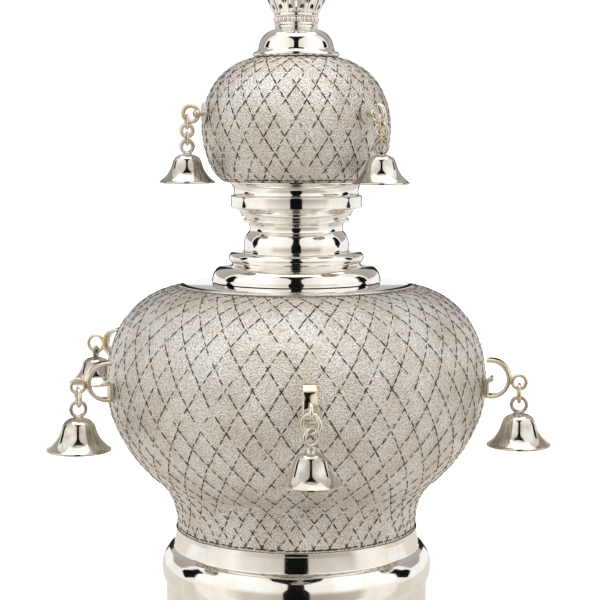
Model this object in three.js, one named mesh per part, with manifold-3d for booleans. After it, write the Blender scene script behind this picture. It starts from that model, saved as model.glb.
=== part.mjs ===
// A bulb-shaped silver torah crown, in millimetres, +Z up, its foot at Z = 0.
// A moulded base ring carries a large hollow onion bulb. A flat shoulder plate and a turned neck carry a
// smaller bulb, closed by a polished cap with a little openwork coronet. Bells hang from scroll hooks round
// the large bulb, and from rings on pegs round the small one.

import * as THREE from 'three';
import { mergeVertices } from 'three/addons/utils/BufferGeometryUtils.js';
import Module from 'manifold-3d';

const wasm = await Module();
wasm.setup();

// ---- driving dimensions -------------------------------------------------------------------------------

const gap = 0.3; // between pieces that are soldered or hooked together
const wall = 1.2; // spun silver sheet

const baseTop = 53.1;
const baseBandRadius = 60.5; // smooth band that meets the large bulb
const baseBodyRadius = 66.2;

const lowerBottom = baseTop + gap;
const lowerFootRadius = 60.4;
const lowerBeltRadius = 95.2;
const lowerBeltHeight = 127;
const lowerTop = 174.6;
const lowerTopRadius = 58.3;

const plateTop = 177.0; // at the foot of the neck
const plateEdge = 175.8; // at its rim
const plateThickness = 1.0;
const neckBottom = plateTop + gap;
const neckFootRadius = 42.2;
const neckTop = 227.0;
const neckTopRadius = 36.0;

const upperBottom = neckTop + gap;
const upperFootRadius = 36.4;
const upperBeltRadius = 46.7;
const upperBeltHeight = 254;
const upperTop = 287.6;
const upperTopRadius = 21.4;

const capBottom = upperTop + gap;
const capFlangeRadius = 21.2;
const capTop = 303.3;
const capTopRadius = 10.6;

const coronetBottom = capTop + gap;
const coronetRingRadius = 11.9;
const coronetLeafFoot = 309.6;
const coronetTipHeight = 331;
const coronetTipRadius = 18.6;
const coronetInnerRadius = 9.8;
const leafCount = 7;

const wire = 1.9; // heavy rings
const thinWire = 1.2; // small joining links

const lowerBellCount = 5;
const lowerFirstAzimuth = 3.4; // degrees from the front, turning to the right
const scrollHeight = 131.5;
const scrollDistance = 98.9; // of the scroll's middle from the crown's axis
const scrollRadius = 9.6;
const strapThickness = 1.6;
const strapWidth = 6.5;
const hookRingRadius = 4.3;
const linkRadius = 5.2;
const eyeletRadius = 4.6;
const largeBell = { radius: 15.7, height: 16.3 };
const frontBell = { radius: 14.1, height: 15.2 };
const frontBellDrop = 2.5; // taller collar on the front bell
const collarSink = 0.5; // how far an eyelet is let into its bell

const sideAzimuth = -108.4; // the odd bell that hangs higher, at the back on the left
const sideScrollHeight = 141.5;
const sideScrollDistance = 98.4;
const sideScrollRadius = 8.0;
const sideRingRadius = 5.2;
const sideEyeletRadius = 3.3;
const sideBell = { radius: 14.2, height: 14.0 };

const upperBellCount = 3;
const upperFirstAzimuth = -73.3;
const pegHeight = 260.1;
const washerRadius = 5.3;
const washerDistance = 47.0;
const washerThickness = 1.1;
const pegRadius = 1.2;
const ballRadius = 2.0;
const ballDistance = 50.6;
const pegRingRadius = 4.8;
const pegRingDistance = 53.6;
const upperChainDistance = 55.6;
const upperRingRadius = 3.8;
const upperEyeletRadius = 3.9;
const topLinkRadius = 3.8;
const lowLinkRadius = 3.45;
const smallBell = { radius: 13.7, height: 14.4 };

const bulbSides = 22;
const neckSides = 16;
const bellSides = 10;

// ---- finishes -----------------------------------------------------------------------------------------

const polished = () => new THREE.MeshStandardMaterial({ color: 0xdedbd5, roughness: 0.12, metalness: 1 });
const matted = () => new THREE.MeshStandardMaterial({ color: 0xbdb6ab, roughness: 0.45, metalness: 1 });

// ---- shape helpers ------------------------------------------------------------------------------------

const crown = new THREE.Group();

function point(radius, height) {
  return new THREE.Vector2(radius, height);
}

// A stretch of profile as a cubic curve from one [radius, height] to another.
function bend(from, pullOut, pullIn, to, steps) {
  const curve = new THREE.CubicBezierCurve(point(...from), point(...pullOut), point(...pullIn), point(...to));
  return curve.getPoints(steps);
}

// Joins stretches of profile and drops the points that two of them share.
function chain(...stretches) {
  const points = stretches.flat().map((p) => (Array.isArray(p) ? point(...p) : p));
  return points.filter((p, i) => i === 0 || p.distanceTo(points[i - 1]) > 1e-4);
}

// The inside face of a shell: the outside moved inwards by the wall, at each point or every second one.
function insideOf(outside, thickness, every) {
  const inside = [];
  outside.forEach((p, i) => {
    const before = outside[Math.max(i - 1, 0)];
    const after = outside[Math.min(i + 1, outside.length - 1)];
    const run = after.clone().sub(before).normalize();
    const isEnd = i === 0 || i === outside.length - 1;
    if (isEnd) inside.push(point(p.x - thickness, p.y));
    else if (i % every === 0) inside.push(point(p.x - run.y * thickness, p.y + run.x * thickness));
  });
  return inside.reverse();
}

// Turns a profile, listed from the bottom up on its outside, round the crown's axis.
function turned(profile, sides) {
  const shape = new THREE.LatheGeometry(profile, sides);
  return shape.rotateX(Math.PI / 2);
}

function shell(outside, sides, thickness = wall, every = 2) {
  const inside = insideOf(outside, thickness, every);
  return turned([...outside, ...inside, outside[0].clone()], sides);
}

function weld(shape) {
  shape.deleteAttribute('normal');
  shape.deleteAttribute('uv');
  const merged = mergeVertices(shape, 1e-3);
  const corners = Array.from(merged.index.array);
  const kept = [];
  for (let i = 0; i < corners.length; i += 3) {
    const [a, b, c] = corners.slice(i, i + 3);
    if (a !== b && b !== c && c !== a) kept.push(a, b, c);
  }
  merged.setIndex(kept);
  return merged;
}

function toSolid(shape) {
  const welded = weld(shape);
  const vertProperties = new Float32Array(welded.attributes.position.array);
  const triVerts = new Uint32Array(welded.index.array);
  return new wasm.Manifold(new wasm.Mesh({ numProp: 3, vertProperties, triVerts }));
}

function fromSolid(solid) {
  const mesh = solid.getMesh();
  const shape = new THREE.BufferGeometry();
  shape.setAttribute('position', new THREE.BufferAttribute(new Float32Array(mesh.vertProperties), 3));
  shape.setIndex(Array.from(mesh.triVerts));
  shape.computeVertexNormals();
  return shape;
}

function joined(...shapes) {
  return fromSolid(shapes.map(toSolid).reduce((a, b) => a.add(b)));
}

function cutAway(shape, cutters) {
  return fromSolid(cutters.map(toSolid).reduce((a, b) => a.subtract(b), toSolid(shape)));
}

function place(group, name, shape, finish) {
  const mesh = new THREE.Mesh(shape, finish);
  mesh.name = name;
  group.add(mesh);
  return mesh;
}

// A frame whose +X points out from the axis at an azimuth from the front, turning to the right.
function radialFrame(azimuth) {
  const frame = new THREE.Group();
  frame.rotation.z = THREE.MathUtils.degToRad(azimuth - 90);
  crown.add(frame);
  return frame;
}

// A wire ring that stands in the radial plane, or turned about the vertical by an angle in degrees.
function ring(outerRadius, wireSize, distance, height, turn = 0, steps = 8) {
  const shape = new THREE.TorusGeometry(outerRadius - wireSize / 2, wireSize / 2, 4, steps);
  shape.rotateX(Math.PI / 2);
  shape.rotateZ(THREE.MathUtils.degToRad(turn));
  return shape.translate(distance, 0, height);
}

// Height of the middle of a ring that hangs in the ring above it.
function hungBelow(aboveBottom, aboveWire, ownWire, ownRadius) {
  return aboveBottom + aboveWire + gap + ownWire - ownRadius;
}

// ---- the body of the crown ----------------------------------------------------------------------------

function baseRing() {
  const outside = chain(
    [[67.0, 0], [68.8, 1.6], [68.8, 4.4], [baseBodyRadius, 6.0], [baseBodyRadius, 24.8]],
    bend([baseBodyRadius, 24.8], [69.0, 28.5], [69.6, 35.5], [65.6, 40.8], 3),
    [[61.9, 43.3], [baseBandRadius + 0.3, 46.2], [baseBandRadius, baseTop]],
  );
  return shell(outside, bulbSides, 1.4);
}

function lowerBulb() {
  const waist = [69.0, 77.2];
  const belt = [lowerBeltRadius, lowerBeltHeight];
  const outside = chain(
    bend([lowerFootRadius, lowerBottom], [lowerFootRadius, 63.5], [63.0, 71.0], waist, 2),
    bend(waist, [81.5, 86.5], [lowerBeltRadius + 0.4, 106.5], belt, 4),
    bend(belt, [lowerBeltRadius, 150], [83.5, 171.5], [lowerTopRadius, lowerTop], 4),
  );
  return shell(outside, bulbSides, wall, 1);
}

function shoulderPlate() {
  const bore = 22;
  const profile = chain([
    [bore, plateTop - plateThickness],
    [neckFootRadius, plateTop - plateThickness],
    [lowerTopRadius - 0.3, lowerTop + gap],
    [lowerTopRadius - 0.2, plateEdge],
    [neckFootRadius, plateTop],
    [bore, plateTop],
    [bore, plateTop - plateThickness],
  ]);
  return turned(profile, bulbSides);
}

function neck() {
  const outside = chain(
    [[neckFootRadius, neckBottom], [neckFootRadius, 179.7]],
    bend([neckFootRadius, 179.7], [41.8, 182.4], [38.6, 184.2], [35.3, 185.4], 2),
    [[33.4, 186.0], [33.8, 188.4], [31.4, 191.2], [26.7, 192.3], [26.3, 198.0]],
    [[24.4, 203.4], [24.9, 206.6], [26.4, 207.2], [27.4, 210.8], [32.2, 214.2]],
    [[33.0, 215.6], [33.0, 220.8], [31.2, 223.2], [neckTopRadius, neckTop]],
  );
  return shell(outside, neckSides, 1.5);
}

function upperBulb() {
  const belt = [upperBeltRadius, upperBeltHeight];
  const outside = chain(
    bend([upperFootRadius, upperBottom], [43.0, 230.5], [upperBeltRadius, 243], belt, 3),
    bend(belt, [upperBeltRadius, 268], [39.5, 283.5], [upperTopRadius, upperTop], 4),
  );
  return shell(outside, bulbSides, wall, 1);
}

function cap() {
  const outside = chain(
    [[capFlangeRadius, capBottom], [capFlangeRadius, 290.6], [18.6, 292.2]],
    bend([18.6, 292.2], [18.2, 297.5], [15.0, 301.0], [9.6, 302.0], 3),
    [[capTopRadius, capTop], [0, capTop]],
  );
  const inside = [[0, 299.8], [9.4, 299.4], [16.4, 294.6], [19.6, capBottom]];
  return turned(chain(outside, inside, [[capFlangeRadius, capBottom]]), neckSides);
}

// A cutter that passes outwards through the coronet's wall, from an outline of [sideways, height] points.
function radialCutter(outline, angle) {
  const shape = new THREE.Shape(outline.map((p) => point(...p)));
  const cutter = new THREE.ExtrudeGeometry(shape, { depth: 20, bevelEnabled: false });
  cutter.rotateX(Math.PI / 2);
  cutter.rotateZ(Math.PI / 2);
  cutter.translate(5, 0, 0);
  return cutter.rotateZ(angle);
}

function coronet() {
  const flare = bend([11.5, coronetLeafFoot], [13.4, 315], [14.4, 322], [coronetTipRadius, coronetTipHeight], 2);
  const profile = chain(
    [[coronetRingRadius - 0.2, coronetBottom], [coronetRingRadius, 309.2]],
    flare,
    [[coronetTipRadius - 1.2, coronetTipHeight + 0.3], [12.6, 318.0], [coronetInnerRadius, 309.4]],
    [[coronetInnerRadius, coronetBottom], [coronetRingRadius - 0.2, coronetBottom]],
  );
  const pitch = (2 * Math.PI) / leafCount;
  const tipHalfPitch = coronetTipRadius * Math.tan(pitch / 2);
  const notch = [
    [-0.35, coronetLeafFoot + 0.6],
    [0.35, coronetLeafFoot + 0.6],
    [0.7, 319.0],
    [4.4, 324.0],
    [tipHalfPitch + 0.6, coronetTipHeight + 1],
    [-tipHalfPitch - 0.6, coronetTipHeight + 1],
    [-4.4, 324.0],
    [-0.7, 319.0],
  ];
  const eye = [[0, 312.8], [1.2, 315.0], [0, 317.2], [-1.2, 315.0]];
  const cutters = [];
  for (let i = 0; i < leafCount; i += 1) {
    const slitAngle = -Math.PI / 2 + i * pitch;
    cutters.push(radialCutter(notch, slitAngle));
    cutters.push(radialCutter(eye, slitAngle + pitch / 2));
  }
  return cutAway(turned(profile, leafCount * 2), cutters);
}

// ---- bells, hooks and links ---------------------------------------------------------------------------

// A bell with a rounded shoulder and a flared lip, its mouth at the given height, its collar up to collarTop.
function bell(size, distance, mouth, collarTop) {
  const across = size.radius / largeBell.radius;
  const up = size.height / largeBell.height;
  const outside = [[15.6, 0], [15.7, 1.2], [11.4, 4.8], [9.4, 8.8], [8.2, 13.0], [5.8, 15.5]];
  const inside = [[6.0, 13.2], [8.6, 6.4], [14.2, 0], [15.6, 0]];
  const scaled = (list) => list.map(([r, z]) => [r * across, mouth + z * up]);
  const profile = chain(
    scaled(outside),
    [[2.6, collarTop], [0, collarTop]],
    scaled([[0, 14.4]]),
    scaled(inside),
  );
  return turned(profile, bellSides).translate(distance, 0, 0);
}

// A strap of silver bent into a scroll: out from the bulb, down and round, then up the bulb's side to a
// small roll at the middle of the scroll.
function scroll(distance, height, outerRadius) {
  const radius = outerRadius - strapThickness / 2;
  const inner = -2.75; // the strap's middle where it runs up the bulb's side, from the scroll's middle
  const rollRadius = 1.75;
  const startTurn = Math.acos(inner / radius);
  const endTurn = -Math.PI * 0.54;
  const steps = 7;
  const middle = [];
  for (let i = 0; i <= steps; i += 1) {
    const turn = THREE.MathUtils.lerp(startTurn, endTurn, i / steps);
    middle.push(point(radius * Math.cos(turn), radius * Math.sin(turn)));
  }
  middle.push(point(inner, -radius * 0.78), point(inner, -2.4), point(-1.2, -0.6));
  const side = (sign) =>
    middle.map((p, i) => {
      const before = middle[Math.max(i - 1, 0)];
      const after = middle[Math.min(i + 1, middle.length - 1)];
      const run = after.clone().sub(before).normalize();
      const half = (sign * strapThickness) / 2;
      return point(p.x + run.y * half, p.y - run.x * half);
    });
  const outline = new THREE.Shape([...side(1), ...side(-1).reverse()]);
  const strap = new THREE.ExtrudeGeometry(outline, { depth: strapWidth, bevelEnabled: false });
  const roll = new THREE.CylinderGeometry(rollRadius, rollRadius, strapWidth, 6);
  strap.translate(0, 0, -strapWidth / 2);
  roll.rotateX(Math.PI / 2);
  const bent = joined(strap, roll);
  bent.rotateX(Math.PI / 2);
  return bent.translate(distance, 0, height);
}

// One hook with a link and a bell under it. The turns are about the vertical, as the chain has settled.
function lowerBell(number, azimuth, settled) {
  const frame = radialFrame(azimuth);
  const chainDistance = scrollDistance + scrollRadius + hookRingRadius - 0.4;
  const hookRingHeight = scrollHeight - 1.5;
  const linkHeight = hungBelow(hookRingHeight - hookRingRadius, wire, wire, linkRadius);
  const eyeletHeight = hungBelow(linkHeight - linkRadius, wire, wire, eyeletRadius);
  const collarTop = eyeletHeight - eyeletRadius + collarSink;
  const mouth = collarTop - settled.drop - settled.size.height;
  const hookRing = ring(hookRingRadius, wire, chainDistance, hookRingHeight);
  const hook = joined(scroll(scrollDistance, scrollHeight, scrollRadius), hookRing);
  const eyelet = ring(eyeletRadius, wire, chainDistance, eyeletHeight, settled.bellTurn);
  const hanging = joined(bell(settled.size, chainDistance, mouth, collarTop), eyelet);
  place(frame, `lower_hook_${number}`, hook, polished());
  place(frame, `lower_link_${number}`, ring(linkRadius, wire, chainDistance, linkHeight, settled.linkTurn), polished());
  place(frame, `lower_bell_${number}`, hanging, polished());
}

function sideBellSet() {
  const frame = radialFrame(sideAzimuth);
  const chainDistance = sideScrollDistance + sideScrollRadius + sideRingRadius - 0.4;
  const ringHeight = sideScrollHeight - 0.7;
  const eyeletHeight = hungBelow(ringHeight - sideRingRadius, wire, wire, sideEyeletRadius);
  const collarTop = eyeletHeight - sideEyeletRadius + collarSink;
  const mouth = collarTop - sideBell.height;
  const hook = joined(
    scroll(sideScrollDistance, sideScrollHeight, sideScrollRadius),
    ring(sideRingRadius, wire, chainDistance, ringHeight),
  );
  const eyelet = ring(sideEyeletRadius, wire, chainDistance, eyeletHeight, 90);
  place(frame, 'side_hook', hook, polished());
  place(frame, 'side_bell', joined(bell(sideBell, chainDistance, mouth, collarTop), eyelet), polished());
}

// A washer and a peg with a ball on the small bulb, a ring through the ball, and a short chain to a bell.
function upperBell(number, azimuth, turn) {
  const frame = radialFrame(azimuth);
  const washer = new THREE.CylinderGeometry(washerRadius, washerRadius, washerThickness, 8);
  washer.rotateZ(Math.PI / 2).translate(washerDistance + washerThickness / 2, 0, pegHeight);
  const pegLength = ballDistance - washerDistance;
  const peg = new THREE.CylinderGeometry(pegRadius, pegRadius, pegLength, 6);
  peg.rotateZ(Math.PI / 2).translate(washerDistance + 0.1 + pegLength / 2, 0, pegHeight);
  const ball = new THREE.SphereGeometry(ballRadius, 6, 3).translate(ballDistance, 0, pegHeight);
  const pegRing = ring(pegRingRadius, wire, pegRingDistance, pegHeight);

  const wireMiddle = pegRingRadius - wire / 2;
  const lean = Math.asin((upperChainDistance - pegRingDistance) / wireMiddle);
  const slack = (wire / 2 + 2 * gap + thinWire / 2) / Math.cos(lean);
  const restHeight = pegHeight - wireMiddle * Math.cos(lean) + slack;
  const topLinkHeight = restHeight + thinWire / 2 - topLinkRadius;
  const ringHeight = hungBelow(topLinkHeight - topLinkRadius, thinWire, wire, upperRingRadius);
  const lowLinkHeight = hungBelow(ringHeight - upperRingRadius, wire, thinWire, lowLinkRadius);
  const eyeletHeight = hungBelow(lowLinkHeight - lowLinkRadius, thinWire, wire, upperEyeletRadius);
  const collarTop = eyeletHeight - upperEyeletRadius + collarSink;
  const mouth = collarTop - smallBell.height;
  const out = upperChainDistance;
  const eyelet = ring(upperEyeletRadius, wire, out, eyeletHeight, turn);
  const links = 90 + turn / 2;
  place(frame, `upper_hook_${number}`, joined(washer, peg, ball, pegRing), polished());
  place(frame, `upper_link_top_${number}`, ring(topLinkRadius, thinWire, out, topLinkHeight, links), polished());
  place(frame, `upper_ring_${number}`, ring(upperRingRadius, wire, out, ringHeight, turn), polished());
  place(frame, `upper_link_low_${number}`, ring(lowLinkRadius, thinWire, out, lowLinkHeight, 90 + turn), polished());
  place(frame, `upper_bell_${number}`, joined(bell(smallBell, out, mouth, collarTop), eyelet), polished());
}

// ---- putting it together ------------------------------------------------------------------------------

place(crown, 'base_ring', baseRing(), polished());
place(crown, 'lower_bulb', lowerBulb(), matted());
place(crown, 'shoulder_plate', shoulderPlate(), polished());
place(crown, 'neck', neck(), polished());
place(crown, 'upper_bulb', upperBulb(), matted());
place(crown, 'cap', cap(), polished());
place(crown, 'coronet', coronet(), polished());

for (let i = 0; i < lowerBellCount; i += 1) {
  const azimuth = lowerFirstAzimuth + (i * 360) / lowerBellCount;
  const isFront = i === 0;
  const settled = {
    size: isFront ? frontBell : largeBell,
    drop: isFront ? frontBellDrop : 0,
    linkTurn: isFront ? 65 : 90 + 8 * (i % 2),
    bellTurn: isFront ? 125 : 0,
  };
  lowerBell(i + 1, azimuth, settled);
}
sideBellSet();
for (let i = 0; i < upperBellCount; i += 1) {
  upperBell(i + 1, upperFirstAzimuth + (i * 360) / upperBellCount, i === 1 ? 40 : 0);
}

// The bells reach further on some sides than on others, so the crown is moved to stand with the middle of
// its whole reach over the origin.
const reach = new THREE.Box3().setFromObject(crown, true);
const middle = reach.getCenter(new THREE.Vector3());
crown.position.set(-middle.x, -middle.y, 0);

export default crown;
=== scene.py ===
# %% [markdown]
# # A silver torah crown
#
# A crown like this is put over the two staves of a torah scroll. It is hollow work in sheet silver:
# a base ring, a large bulb, a turned neck, a small bulb and a cap with a little openwork coronet.
# Each was spun or raised on its own and soldered on. Nine bells hang round it from scrolls and pegs.
# The parts are already in place as plain solids. Here each one gets its fine shape and its finish.

# %% Start from the frame
import bpy
import bmesh
from math import acos, atan2, cos, degrees, hypot, pi, radians, sin
from mathutils import Matrix, Vector


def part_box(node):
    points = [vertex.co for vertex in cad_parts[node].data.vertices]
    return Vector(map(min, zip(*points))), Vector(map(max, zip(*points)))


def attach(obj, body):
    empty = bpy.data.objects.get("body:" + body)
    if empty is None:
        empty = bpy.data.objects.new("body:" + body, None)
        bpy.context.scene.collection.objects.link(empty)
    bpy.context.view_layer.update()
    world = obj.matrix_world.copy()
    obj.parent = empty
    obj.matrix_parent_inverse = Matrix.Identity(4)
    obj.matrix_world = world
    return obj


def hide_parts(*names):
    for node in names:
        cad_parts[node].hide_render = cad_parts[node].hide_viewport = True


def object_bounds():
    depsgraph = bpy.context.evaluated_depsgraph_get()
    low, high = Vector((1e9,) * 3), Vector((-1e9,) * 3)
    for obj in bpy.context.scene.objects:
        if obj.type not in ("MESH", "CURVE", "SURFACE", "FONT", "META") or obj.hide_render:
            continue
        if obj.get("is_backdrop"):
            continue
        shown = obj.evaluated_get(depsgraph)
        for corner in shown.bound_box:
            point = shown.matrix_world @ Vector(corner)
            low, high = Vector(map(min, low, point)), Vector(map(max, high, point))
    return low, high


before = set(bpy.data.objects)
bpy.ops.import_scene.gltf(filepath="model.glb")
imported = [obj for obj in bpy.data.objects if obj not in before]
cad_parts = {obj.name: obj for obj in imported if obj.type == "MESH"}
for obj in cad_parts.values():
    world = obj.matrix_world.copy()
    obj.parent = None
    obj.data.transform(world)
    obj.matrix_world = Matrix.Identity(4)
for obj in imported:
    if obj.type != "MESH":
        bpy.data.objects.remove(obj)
cad_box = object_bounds()
MM = 0.001  # lengths below are in millimetres, Blender's are in metres


def middle(node):
    """The middle of a solid's box, in millimetres."""
    low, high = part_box(node)
    return [(a + b) / 2 / MM for a, b in zip(low, high)]


def heights(node):
    """The foot and the top of a solid, in millimetres."""
    low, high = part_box(node)
    return low[2] / MM, high[2] / MM


axis_x, axis_y = middle("neck")[:2]  # the crown's own axis
print("nodes:", len(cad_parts), "axis at", round(axis_x, 2), round(axis_y, 2), "mm")

# %% [markdown]
# ## Helpers for nodes and colours
#
# Colours are picked as sRGB hex values, the numbers that a colour picker shows. Blender mixes light in
# linear values, so one function turns them round. Another adds a node, sets it and links it, so that
# every tree below reads as a list of its nodes. Two short ones start a material and place an object.

# %% Colours and nodes
def linear(hex_colour):
    """An sRGB hex value such as "#C9C2B9" as linear red, green, blue and alpha."""
    parts = [int(hex_colour[i:i + 2], 16) / 255 for i in (1, 3, 5)]
    return [c / 12.92 if c <= 0.04045 else ((c + 0.055) / 1.055) ** 2.4 for c in parts] + [1.0]


def add(tree, kind, settings=None, values=None, links=None):
    """Adds a node. Values and links are given by the input's name or number."""
    node = tree.nodes.new(kind)
    for name, value in (settings or {}).items():
        setattr(node, name, value)
    for socket, value in (values or {}).items():
        node.inputs[socket].default_value = value
    for socket, source in (links or {}).items():
        tree.links.new(source, node.inputs[socket])
    return node


def set_stops(ramp, stops):
    """Sets a colour ramp's stops from a list of (place, hex colour)."""
    elements = ramp.color_ramp.elements
    while len(elements) < len(stops):
        elements.new(0.5)
    for element, (place, colour) in zip(elements, stops):
        element.position = place
        element.color = linear(colour)


def new_material(name):
    material = bpy.data.materials.new(name)
    material.use_nodes = True
    return material, material.node_tree


def placed(name, data):
    """A new object with its data, put into the scene."""
    thing = bpy.data.objects.new(name, data)
    bpy.context.collection.objects.link(thing)
    return thing


print("white is", linear("#FFFFFF"))

# %% [markdown]
# ## The camera
#
# It stands in front of the crown, a little above its middle, and looks slightly down. A long lens from
# 0.8 metres keeps the bulbs' outline true, and the bells in front only a little larger than those behind.

# %% Camera
CAMERA_DISTANCE = 800
CAMERA_HEIGHT = 250
CAMERA_PITCH = 5.9  # degrees down
CAMERA_SIDEWAYS = 1.85  # to the right of the axis
LENS = 96
SENSOR = 36

camera = placed("camera", bpy.data.cameras.new("camera"))
camera.location = [(axis_x + CAMERA_SIDEWAYS) * MM, (axis_y - CAMERA_DISTANCE) * MM, CAMERA_HEIGHT * MM]
camera.rotation_euler = [radians(90 - CAMERA_PITCH), 0, 0]
camera.data.lens = LENS
camera.data.sensor_width = SENSOR
bpy.context.scene.camera = camera
print("camera at", [round(c, 3) for c in camera.location])

# %% [markdown]
# ## The studio
#
# Polished silver has hardly any colour of its own: it shows the room. So the room is built as a silver
# photographer would build it. Two curved white sheets stand left and right and glow, with a dark gap
# between them where the camera looks in. Dark strips at the sides and behind draw the edges, and lit paper
# lies below and behind. All of them are hidden from the camera, which sees a plain pale floor and a white
# background.

# %% World and view
scene = bpy.context.scene
scene.view_settings.view_transform = "Standard"
world = bpy.data.worlds.new("white_room")
world.use_nodes = True
scene.world = world
world.node_tree.nodes["Background"].inputs["Color"].default_value = linear("#FFFFFF")
world.node_tree.nodes["Background"].inputs["Strength"].default_value = 1.0


def glowing(name, low, high, up, strength=1.2):
    """A sheet lit from behind. Its glow goes across it by the low colours at its foot and by the high ones
    at its top, and the stops of up say how far each height is between the two."""
    material, tree = new_material(name)
    tree.nodes.clear()
    place = add(tree, "ShaderNodeTexCoord")
    parts = add(tree, "ShaderNodeSeparateXYZ", links={0: place.outputs["UV"]})
    foot = add(tree, "ShaderNodeValToRGB", links={0: parts.outputs["X"]})
    set_stops(foot, low)
    head = add(tree, "ShaderNodeValToRGB", links={0: parts.outputs["X"]})
    set_stops(head, high)
    share = add(tree, "ShaderNodeValToRGB", links={0: parts.outputs["Y"]})
    set_stops(share, up)
    both = add(tree, "ShaderNodeMix", {"data_type": "RGBA"}, {},
               {0: share.outputs[0], 6: foot.outputs[0], 7: head.outputs[0]})
    glow = add(tree, "ShaderNodeEmission", values={"Strength": strength}, links={"Color": both.outputs[2]})
    add(tree, "ShaderNodeOutputMaterial", links={0: glow.outputs[0]})
    return material


def plain(name, colour, roughness=0.9):
    """Paper, felt or velvet: one colour and hardly any gloss."""
    material, tree = new_material(name)
    shader = tree.nodes["Principled BSDF"]
    shader.inputs["Base Color"].default_value = linear(colour)
    shader.inputs["Roughness"].default_value = roughness
    shader.inputs["Specular IOR Level"].default_value = 0.2
    return material


def standing_sheet(name, rows, material, distance=1650, steps=16):
    """A curved sheet round the crown. Each row is a height and the directions where the sheet starts and
    ends there, in degrees from the camera's side. Its UV map runs 0 to 1 across and upwards."""
    corners, faces, uvs = [], [], []
    foot, top = rows[0][0], rows[-1][0]
    for height, start, end in rows:
        for i in range(steps + 1):
            turn = radians(start + (end - start) * i / steps)
            across, back = distance * sin(turn), distance * cos(turn)
            corners.append([(axis_x + across) * MM, (axis_y - back) * MM, height * MM])
            uvs.append([i / steps, (height - foot) / (top - foot)])
    for j in range(len(rows) - 1):
        for i in range(steps):
            a = j * (steps + 1) + i
            faces.append([a, a + 1, a + steps + 2, a + steps + 1])
    mesh = bpy.data.meshes.new(name)
    mesh.from_pydata(corners, [], faces)
    layer = mesh.uv_layers.new(name="sheet")
    for loop in mesh.loops:
        layer.data[loop.index].uv = uvs[loop.vertex_index]
    mesh.materials.append(material)
    sheet = placed(name, mesh)
    sheet.visible_camera = False
    sheet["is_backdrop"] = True
    return sheet


# %% Floor
FLOOR = 30.0  # metres each way, so that its far edge is lost in the white
FLOOR_GLOW = 0.9

paper = plain("white_paper", "#FFFFFF")
paper_shader = paper.node_tree.nodes["Principled BSDF"]
paper_shader.inputs["Emission Color"].default_value = linear("#FFFFFF")
paper_shader.inputs["Emission Strength"].default_value = FLOOR_GLOW
floor_mesh = bpy.data.meshes.new("floor")
floor_mesh.from_pydata([[-FLOOR, -FLOOR, 0], [FLOOR, -FLOOR, 0], [FLOOR, FLOOR, 0], [-FLOOR, FLOOR, 0]], [],
                       [[0, 1, 2, 3]])
floor_mesh.materials.append(paper)
floor = placed("floor", floor_mesh)
floor.visible_glossy = False  # the silver shows the sheets, which go on below the level of the floor
floor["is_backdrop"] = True
print("floor", 2 * FLOOR, "m wide")

# %% Sheets and dark strips
SKY_FOOT, SKY_TOP = -1500, 3600  # how far the glowing sheets reach, in mm
SILK_END = 92  # where they end and the lit paper begins, in degrees from the camera's side
BACK = 180
WALL_DISTANCE = 1700
GAP_DISTANCE = 1760
BELOW_RADIUS = 1.75  # metres

rise = [(0.0, "#000000"), (0.29, "#000000"), (0.37, "#FFFFFF"), (1.0, "#FFFFFF")]
bright = [(0.0, "#E4E0DA"), (0.35, "#FBFAF8"), (1.0, "#FFFFFF")]
left_glow = [(0.0, "#B4ACA2"), (0.45, "#CFC8BF"), (0.62, "#F4F0EA"), (1.0, "#E6E1DA")]
right_glow = [(0.0, "#A39B91"), (0.5, "#B9B1A7"), (0.62, "#EDE8E1"), (1.0, "#E6E1DA")]
even = [(0.0, "#000000"), (1.0, "#000000")]
paper_glow = [(0.0, "#D6D0C8"), (1.0, "#D6D0C8")]
wall_glow = [(0.0, "#A29C95"), (1.0, "#B4B1AE")]
silks = (glowing("silk_left", left_glow, bright, rise), glowing("silk_right", right_glow, bright, rise))
low_paper = glowing("lit_paper", paper_glow, paper_glow, even)
back_wall = glowing("back_wall", wall_glow, wall_glow, even)
black = plain("black_velvet", "#020202")
soot = plain("grey_felt", "#1D1A17")
gap_edges = ((SKY_FOOT, 0), (-800, 0), (-780, 11), (300, 10.5), (700, 7.5), (1500, 8), (2200, 14), (2700, 30),
             (SKY_TOP, 42))


def both_sides(name, rows, materials, **more):
    """Two standing sheets, one the mirror image of the other. The materials are the left and right ones."""
    for side, word, material in zip((-1, 1), ("left", "right"), materials):
        mirrored = [(height, side * start, side * end) for height, start, end in rows]
        standing_sheet(f"{name}_{word}", mirrored, material, **more)


both_sides("softbox", [(height, start, SILK_END) for height, start in gap_edges], silks)
both_sides("dark_side", [(30, 103, 104), (330, 93, 112), (1150, 97, 108)], (black, black))
both_sides("dark_back", [(-300, 158, 172), (900, 158, 172)], (soot, soot))
both_sides("paper_side", [(SKY_FOOT, SILK_END, BACK), (-130, SILK_END, BACK)], (low_paper, low_paper))
both_sides("wall", [(420, 116, BACK), (2400, 116, BACK)], (back_wall, back_wall), distance=WALL_DISTANCE)
standing_sheet("dark_gap", [(SKY_FOOT, -50, 50), (4000, -50, 50)], black, distance=GAP_DISTANCE)

below = bpy.data.meshes.new("paper_below")
disc = bmesh.new()
bmesh.ops.create_circle(disc, cap_ends=True, segments=48, radius=BELOW_RADIUS)
disc.to_mesh(below)
disc.free()
below.materials.append(low_paper)
below_sheet = placed("paper_below", below)
below_sheet.location = [axis_x * MM, axis_y * MM, SKY_FOOT * MM]
below_sheet.visible_camera = False
below_sheet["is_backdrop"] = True
print("glowing sheets, dark strips and lit paper stand round the crown")

# %% Overhead light
OVERHEAD_SIZE = (2.2, 1.6)
OVERHEAD_POWER = 11
OVERHEAD_BACK, OVERHEAD_HEIGHT = 0.25, 2.1  # metres

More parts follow.
